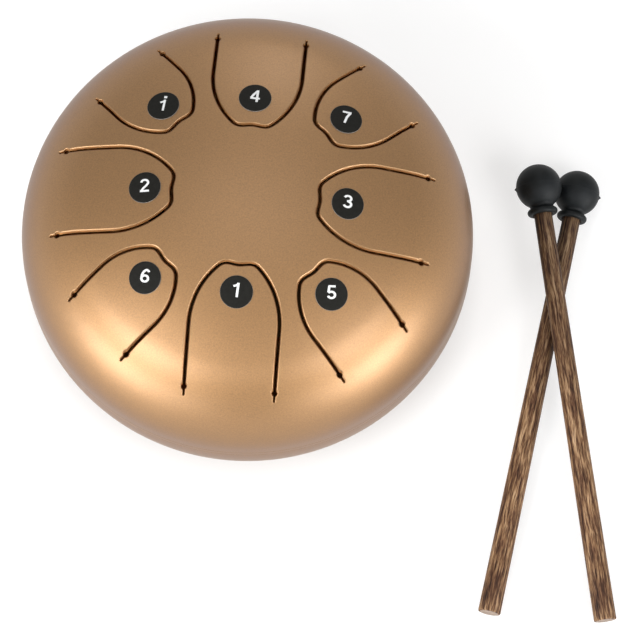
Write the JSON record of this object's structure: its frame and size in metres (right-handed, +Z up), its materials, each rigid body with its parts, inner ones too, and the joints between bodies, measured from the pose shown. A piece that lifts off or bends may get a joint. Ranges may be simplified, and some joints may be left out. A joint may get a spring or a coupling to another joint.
{
  "type": "steel tongue drum",
  "caption": "Small steel tongue drum: a domed body of pressed sheet steel with sprung tongues and numbered discs on top, rubber feet below, and rubber-headed wooden mallets.",
  "frame": {"origin": "on the drum's axis, in the plane of the table that the drum's feet and both mallets rest on", "axes": "+Z up along the drum's axis. -Y points along tongue number 1. +X points from the drum to the mallets lying beside it"},
  "size_m": [0.1939, 0.174, 0.0838],
  "materials": {
    "bronze_paint": "satin metallic bronze paint with fine flake",
    "disc_film": "matt charcoal film with white printed numbers",
    "foot_rubber": "matt black rubber",
    "stick_wood": "open-grained dark brown wood, thin matt finish",
    "head_rubber": "matt black moulded rubber"
  },
  "bodies": {
    "drum": {"upper_shell": "bronze_paint", "lower_shell": "bronze_paint", "seam_weld": "bronze_paint", "rubber_foot_1": "foot_rubber", "rubber_foot_2": "foot_rubber", "rubber_foot_3": "foot_rubber"},
    "tongue_1": {"tongue_1": "bronze_paint", "note_disc_1": "disc_film"},
    "tongue_5": {"tongue_5": "bronze_paint", "note_disc_5": "disc_film"},
    "tongue_3": {"tongue_3": "bronze_paint", "note_disc_3": "disc_film"},
    "tongue_7": {"tongue_7": "bronze_paint", "note_disc_7": "disc_film"},
    "tongue_4": {"tongue_4": "bronze_paint", "note_disc_4": "disc_film"},
    "tongue_high_1": {"tongue_high_1": "bronze_paint", "note_disc_high_1": "disc_film"},
    "tongue_2": {"tongue_2": "bronze_paint", "note_disc_2": "disc_film"},
    "tongue_6": {"tongue_6": "bronze_paint", "note_disc_6": "disc_film"},
    "lower_mallet": {"lower_mallet_stick": "stick_wood", "lower_mallet_head": "head_rubber"},
    "upper_mallet": {"upper_mallet_stick": "stick_wood", "upper_mallet_head": "head_rubber"}
  },
  "joints": [
    {"name": "upper_mallet_lift", "type": "slide", "parent": "drum", "child": "upper_mallet", "axis": [0, 0, 1], "range_m": [0, 0.1]},
    {"name": "lower_mallet_draw", "type": "slide", "parent": "drum", "child": "lower_mallet", "axis": [0.1305, 0.9914, 0], "range_m": [0, 0.12]},
    {"name": "tongue_1_flex", "type": "hinge", "parent": "drum", "child": "tongue_1", "pos_m": [0, -0.05768, 0.06924], "axis": [1, 0, 0], "range_deg": [-0.5, 0.5], "stiffness_Nm_per_rad": 120},
    {"name": "tongue_5_flex", "type": "hinge", "parent": "drum", "child": "tongue_5", "pos_m": [0.04138, -0.04138, 0.06857], "axis": [0.7071, 0.7071, 0], "range_deg": [-0.5, 0.5], "stiffness_Nm_per_rad": 150},
    {"name": "tongue_3_flex", "type": "hinge", "parent": "drum", "child": "tongue_3", "pos_m": [0.05432, 0, 0.07148], "axis": [0, 1, 0], "range_deg": [-0.5, 0.5], "stiffness_Nm_per_rad": 120},
    {"name": "tongue_7_flex", "type": "hinge", "parent": "drum", "child": "tongue_7", "pos_m": [0.03945, 0.03945, 0.07058], "axis": [-0.7071, 0.7071, 0], "range_deg": [-0.5, 0.5], "stiffness_Nm_per_rad": 150},
    {"name": "tongue_4_flex", "type": "hinge", "parent": "drum", "child": "tongue_4", "pos_m": [0, 0.05383, 0.07176], "axis": [-1, 0, 0], "range_deg": [-0.5, 0.5], "stiffness_Nm_per_rad": 120},
    {"name": "tongue_high_1_flex", "type": "hinge", "parent": "drum", "child": "tongue_high_1", "pos_m": [-0.03891, 0.03891, 0.07107], "axis": [-0.7071, -0.7071, 0], "range_deg": [-0.5, 0.5], "stiffness_Nm_per_rad": 150},
    {"name": "tongue_2_flex", "type": "hinge", "parent": "drum", "child": "tongue_2", "pos_m": [-0.05642, 0, 0.07016], "axis": [0, -1, 0], "range_deg": [-0.5, 0.5], "stiffness_Nm_per_rad": 120},
    {"name": "tongue_6_flex", "type": "hinge", "parent": "drum", "child": "tongue_6", "pos_m": [-0.04059, -0.04059, 0.06946], "axis": [0.7071, -0.7071, 0], "range_deg": [-0.5, 0.5], "stiffness_Nm_per_rad": 150}
  ]
}
